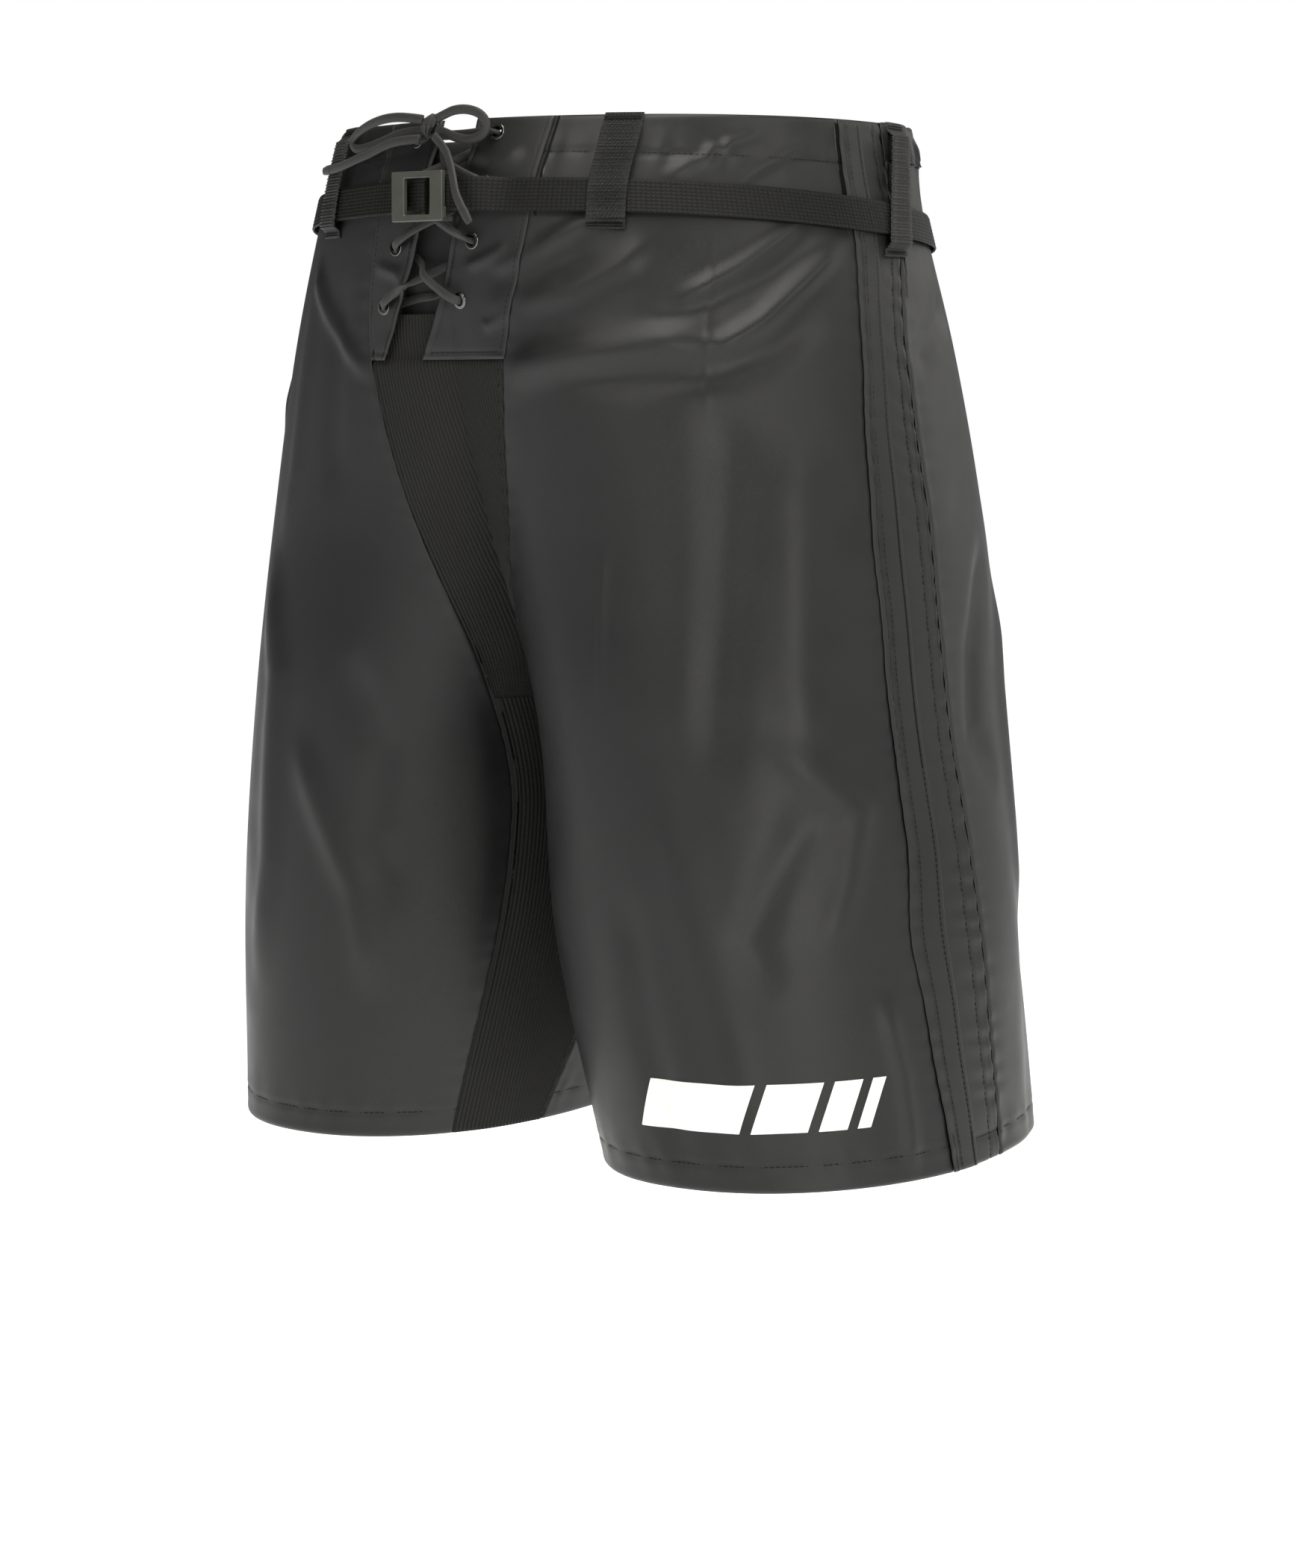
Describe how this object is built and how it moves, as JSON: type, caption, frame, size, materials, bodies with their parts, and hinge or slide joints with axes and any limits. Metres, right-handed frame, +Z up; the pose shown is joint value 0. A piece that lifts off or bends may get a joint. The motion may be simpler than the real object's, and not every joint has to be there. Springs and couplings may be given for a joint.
{
  "type": "hockey pants",
  "caption": "Knee-length sewn shell worn over padded pants, with a laced fly, a webbing belt with a lever buckle, and stretch gussets.",
  "frame": {"origin": "centre of the waist opening, on the plane of the waist rim", "axes": "+Z up, the front faces -Y, the wearer's left is +X"},
  "size_m": [0.5152, 0.337, 0.6031],
  "materials": {
    "shell_fabric": "black polyester twill, satin",
    "stripe_fabric": "black polyester twill, satin, stitched strips",
    "rib_knit": "black rib knit, matte, vertical ribs",
    "tongue_knit": "fine black knit, matte",
    "belt_web": "black polypropylene webbing, coarse weave",
    "loop_web": "black ribbed webbing",
    "elastic": "black woven elastic",
    "nickel": "bright nickel plate",
    "pin_steel": "blackened steel",
    "buckle_plastic": "charcoal acetal, satin",
    "lace_braid": "black braided polyester lace",
    "print_film": "off-white heat-transfer film"
  },
  "bodies": {
    "shell": {"back_panel_left": "shell_fabric", "back_panel_right": "shell_fabric", "belt_loop_back_left": "loop_web", "belt_loop_back_right": "loop_web", "belt_loop_front_left": "loop_web", "belt_loop_front_right": "loop_web", "belt_loop_side_left": "loop_web", "belt_loop_side_right": "loop_web", "belt_webbing": "belt_web", "buckle_base": "buckle_plastic", "buckle_pin": "pin_steel", "eyelet_washers_left": "nickel", "eyelet_washers_right": "nickel", "eyelets_left": "nickel", "eyelets_right": "nickel", "fly_placket_left": "shell_fabric", "fly_placket_right": "shell_fabric", "fly_tongue": "tongue_knit", "front_panel_left": "shell_fabric", "front_panel_right": "shell_fabric", "gusset_front": "rib_knit", "gusset_rear": "rib_knit", "hem_band_left": "shell_fabric", "hem_band_right": "shell_fabric", "inseam_gusset_left": "rib_knit", "inseam_gusset_right": "rib_knit", "lace_end_left": "lace_braid", "lace_end_right": "lace_braid", "lace_knot": "lace_braid", "lace_loop_left": "lace_braid", "lace_loop_right": "lace_braid", "lace_tips": "lace_braid", "lacing": "lace_braid", "leg_print": "print_film", "rear_waistband": "shell_fabric", "side_panel_left": "stripe_fabric", "side_panel_right": "stripe_fabric", "side_stripe_left": "stripe_fabric", "side_stripe_right": "stripe_fabric", "waist_elastic": "elastic", "waist_facing_left": "shell_fabric", "waist_facing_right": "shell_fabric"},
    "buckle_lever": {"buckle_lever": "buckle_plastic"}
  },
  "joints": [
    {"name": "buckle_lever_hinge", "type": "hinge", "parent": "shell", "child": "buckle_lever", "pos_m": [-0.0224, -0.1742, -0.044], "axis": [0, 0, -1], "range_deg": [0, 95]}
  ]
}
